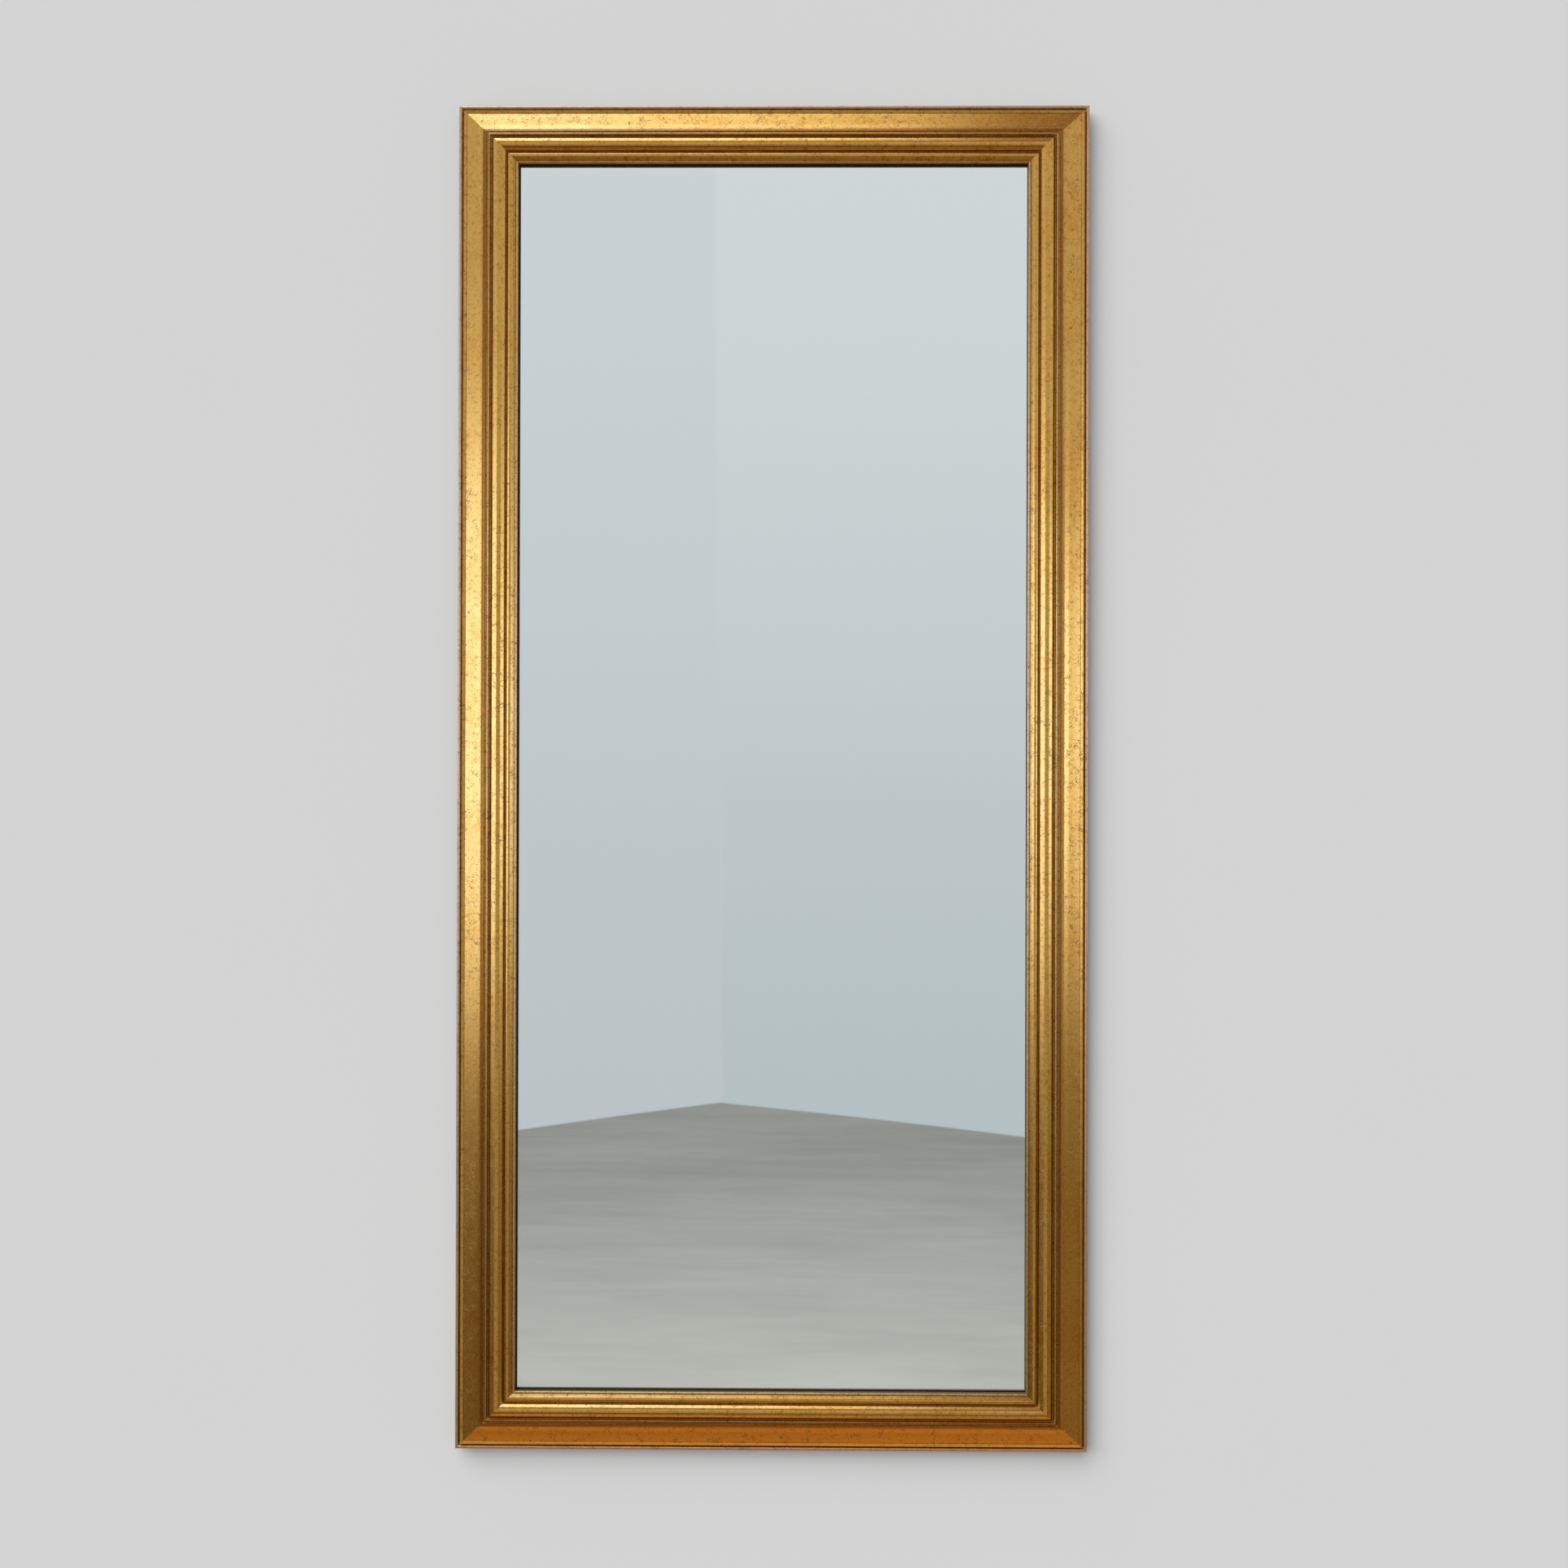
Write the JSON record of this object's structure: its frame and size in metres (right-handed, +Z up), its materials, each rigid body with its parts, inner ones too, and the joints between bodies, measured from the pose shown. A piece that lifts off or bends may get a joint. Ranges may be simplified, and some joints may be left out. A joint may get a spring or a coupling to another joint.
{
  "type": "wall mirror",
  "caption": "Tall rectangular wall mirror: plain plate in a mitred, stepped gilt moulding, with a backing board held by turn buttons and strap hangers with rings.",
  "frame": {"origin": "on the wall, level with the middle of the frame's height and width", "axes": "+Z up the frame's height, front faces -Y, +Y into the wall, +X to the viewer's right"},
  "size_m": [0.8, 0.0448, 1.704],
  "materials": {
    "gilt": "imitation gold leaf over red bole, rubbed and toned",
    "silvered_plate": "silvered, polished",
    "block_rubber": "matt",
    "pine": "sawn",
    "fibreboard": "smooth hardboard",
    "zinc_steel": "bright zinc plate",
    "bumper_rubber": "matt"
  },
  "bodies": {
    "root": {"rail_top": "gilt", "rail_bottom": "gilt", "rail_left": "gilt", "rail_right": "gilt", "corner_v_nails": "zinc_steel", "mirror_plate": "silvered_plate", "edge_blocks": "block_rubber", "packing_top": "pine", "packing_bottom": "pine", "packing_left": "pine", "packing_right": "pine", "backing_board": "fibreboard", "turn_button_screws": "zinc_steel", "hanger_strap_left": "zinc_steel", "hanger_strap_right": "zinc_steel", "hanger_screws": "zinc_steel", "wall_bumpers": "bumper_rubber", "bumper_screws": "zinc_steel"},
    "turn_button_left_1": {"turn_button_left_1": "zinc_steel"},
    "turn_button_right_1": {"turn_button_right_1": "zinc_steel"},
    "turn_button_left_2": {"turn_button_left_2": "zinc_steel"},
    "turn_button_right_2": {"turn_button_right_2": "zinc_steel"},
    "turn_button_left_3": {"turn_button_left_3": "zinc_steel"},
    "turn_button_right_3": {"turn_button_right_3": "zinc_steel"},
    "turn_button_left_4": {"turn_button_left_4": "zinc_steel"},
    "turn_button_right_4": {"turn_button_right_4": "zinc_steel"},
    "turn_button_top_1": {"turn_button_top_1": "zinc_steel"},
    "turn_button_bottom_1": {"turn_button_bottom_1": "zinc_steel"},
    "turn_button_top_2": {"turn_button_top_2": "zinc_steel"},
    "turn_button_bottom_2": {"turn_button_bottom_2": "zinc_steel"},
    "hanger_ring_left": {"hanger_ring_left": "zinc_steel"},
    "hanger_ring_right": {"hanger_ring_right": "zinc_steel"}
  },
  "joints": [
    {"name": "button_turn_left_1", "type": "hinge", "parent": "root", "child": "turn_button_left_1", "pos_m": [-0.3415, -0.0072, 0.602], "axis": [0, 1, 0], "continuous": true},
    {"name": "button_turn_right_1", "type": "hinge", "parent": "root", "child": "turn_button_right_1", "pos_m": [0.3415, -0.0072, 0.602], "axis": [0, 1, 0], "continuous": true},
    {"name": "button_turn_left_2", "type": "hinge", "parent": "root", "child": "turn_button_left_2", "pos_m": [-0.3415, -0.0072, 0.20067], "axis": [0, 1, 0], "continuous": true},
    {"name": "button_turn_right_2", "type": "hinge", "parent": "root", "child": "turn_button_right_2", "pos_m": [0.3415, -0.0072, 0.20067], "axis": [0, 1, 0], "continuous": true},
    {"name": "button_turn_left_3", "type": "hinge", "parent": "root", "child": "turn_button_left_3", "pos_m": [-0.3415, -0.0072, -0.20067], "axis": [0, 1, 0], "continuous": true},
    {"name": "button_turn_right_3", "type": "hinge", "parent": "root", "child": "turn_button_right_3", "pos_m": [0.3415, -0.0072, -0.20067], "axis": [0, 1, 0], "continuous": true},
    {"name": "button_turn_left_4", "type": "hinge", "parent": "root", "child": "turn_button_left_4", "pos_m": [-0.3415, -0.0072, -0.602], "axis": [0, 1, 0], "continuous": true},
    {"name": "button_turn_right_4", "type": "hinge", "parent": "root", "child": "turn_button_right_4", "pos_m": [0.3415, -0.0072, -0.602], "axis": [0, 1, 0], "continuous": true},
    {"name": "button_turn_top_1", "type": "hinge", "parent": "root", "child": "turn_button_top_1", "pos_m": [-0.15, -0.0072, 0.7935], "axis": [0, 1, 0], "continuous": true},
    {"name": "button_turn_bottom_1", "type": "hinge", "parent": "root", "child": "turn_button_bottom_1", "pos_m": [-0.15, -0.0072, -0.7935], "axis": [0, 1, 0], "continuous": true},
    {"name": "button_turn_top_2", "type": "hinge", "parent": "root", "child": "turn_button_top_2", "pos_m": [0.15, -0.0072, 0.7935], "axis": [0, 1, 0], "continuous": true},
    {"name": "button_turn_bottom_2", "type": "hinge", "parent": "root", "child": "turn_button_bottom_2", "pos_m": [0.15, -0.0072, -0.7935], "axis": [0, 1, 0], "continuous": true},
    {"name": "ring_swing_left", "type": "hinge", "parent": "root", "child": "hanger_ring_left", "pos_m": [-0.373, -0.00522, 0.452], "axis": [-1, 0, 0], "range_deg": [0, 170]},
    {"name": "ring_swing_right", "type": "hinge", "parent": "root", "child": "hanger_ring_right", "pos_m": [0.373, -0.00522, 0.452], "axis": [-1, 0, 0], "range_deg": [0, 170]}
  ]
}
